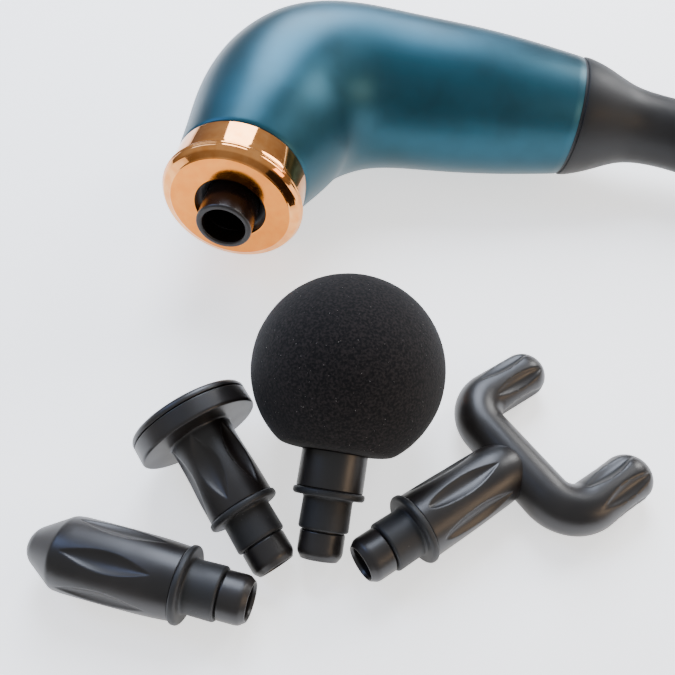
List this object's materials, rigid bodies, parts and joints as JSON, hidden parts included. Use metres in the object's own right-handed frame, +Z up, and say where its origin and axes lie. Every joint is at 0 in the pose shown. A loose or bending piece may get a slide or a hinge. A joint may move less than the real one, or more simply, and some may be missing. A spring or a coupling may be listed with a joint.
{
  "type": "massage gun",
  "caption": "Elbow-shaped percussion massage gun with a slim grip and a crank-driven plunger, lying with ball, flat, bullet and fork heads.",
  "frame": {"origin": "middle of the set's bounding box, on the table it lies on", "axes": "+Z up from the table; the plunger strikes toward -Y; the barrel and grip run toward +X"},
  "size_m": [0.3102, 0.233, 0.0656],
  "materials": {
    "teal_shell": "satin teal anodised",
    "rose_gold": "bright rose-gold plating",
    "soft_touch_grip": "matte soft-touch coating",
    "dark_plastic": "matte moulded",
    "gloss_black": "gloss brown-black",
    "lens": "translucent white",
    "button_plastic": "satin black",
    "head_plastic": "satin dark brown-black",
    "rubber": "matte black",
    "foam": "fine-grained charcoal foam",
    "circuit_board": "green solder mask",
    "aluminium": "machined",
    "brass": "turned",
    "copper_wire": "enamelled winding",
    "cell_wrap": "blue shrink wrap",
    "dark_steel": "black-plated",
    "steel": "ground"
  },
  "bodies": {
    "gun": {"body_shell": "teal_shell", "ring_band": "rose_gold", "front_bezel": "rose_gold", "joint_gasket": "rubber", "joint_collar": "dark_plastic", "grip_sleeve": "soft_touch_grip", "handle_core": "dark_plastic", "base_cap": "dark_plastic", "light_ring": "lens", "button_switch": "steel", "button_board": "circuit_board", "charge_socket": "steel", "cap_screw_1": "steel", "cap_screw_2": "steel", "cap_screw_3": "steel", "plunger_guide": "dark_plastic", "dust_seal": "rubber", "guide_holder": "aluminium", "guide_damper": "rubber", "motor_bracket": "aluminium", "frame_screw_1": "steel", "frame_screw_2": "steel", "bearing_tube": "aluminium", "bearing_front": "steel", "bearing_rear": "steel", "stator_core": "dark_steel", "coil_front": "copper_wire", "coil_rear": "copper_wire", "battery_cell_1": "cell_wrap", "battery_cell_2": "cell_wrap", "battery_cell_3": "cell_wrap", "cell_holder_front": "dark_plastic", "cell_holder_rear": "dark_plastic", "controller_board": "circuit_board", "controller_chip": "gloss_black", "board_capacitor": "aluminium"},
    "rotor": {"eccentric_wheel": "steel", "counterweight": "brass", "motor_shaft": "steel", "rotor_bell": "dark_steel", "magnet_ring": "steel"},
    "plunger": {"plunger": "gloss_black", "wrist_pin": "steel"},
    "con_rod": {"con_rod": "steel", "small_end_bush": "brass", "big_end_bearing": "steel", "crank_bolt": "steel"},
    "power_button": {"power_button": "button_plastic"},
    "ball_head": {"ball_foam": "foam", "ball_stem": "head_plastic", "ball_sleeve": "rubber"},
    "flat_head": {"flat_body": "head_plastic", "flat_pad": "head_plastic", "flat_sleeve": "rubber"},
    "bullet_head": {"bullet_body": "head_plastic", "bullet_sleeve": "rubber"},
    "fork_head": {"fork_body": "head_plastic", "fork_sleeve": "rubber"}
  },
  "joints": [
    {"name": "rotor_spin", "type": "hinge", "parent": "gun", "child": "rotor", "pos_m": [-0.12576, 0.07501, 0.03376], "axis": [0.9981, 0, -0.0614], "continuous": true},
    {"name": "plunger_stroke", "type": "slide", "parent": "gun", "child": "plunger", "axis": [0, -1, 0], "range_m": [-0.00463, 0.00537]},
    {"name": "con_rod_swing", "type": "hinge", "parent": "plunger", "child": "con_rod", "pos_m": [-0.12576, 0.04138, 0.03376], "axis": [0.9981, 0, -0.0614], "range_deg": [-16.92, 0]},
    {"name": "power_button_press", "type": "slide", "parent": "gun", "child": "power_button", "axis": [-0.9514, 0.3024, 0.0585], "range_m": [0, 0.0006], "stiffness_N_per_m": 1500, "springref_m": -0.0006},
    {"name": "ball_head_lift", "type": "slide", "parent": "gun", "child": "ball_head", "axis": [0, 0, 1], "range_m": [0, 0.12]},
    {"name": "flat_head_lift", "type": "slide", "parent": "gun", "child": "flat_head", "axis": [0, 0, 1], "range_m": [0, 0.12]},
    {"name": "bullet_head_lift", "type": "slide", "parent": "gun", "child": "bullet_head", "axis": [0, 0, 1], "range_m": [0, 0.12]},
    {"name": "fork_head_lift", "type": "slide", "parent": "gun", "child": "fork_head", "axis": [0, 0, 1], "range_m": [0, 0.12]}
  ]
}
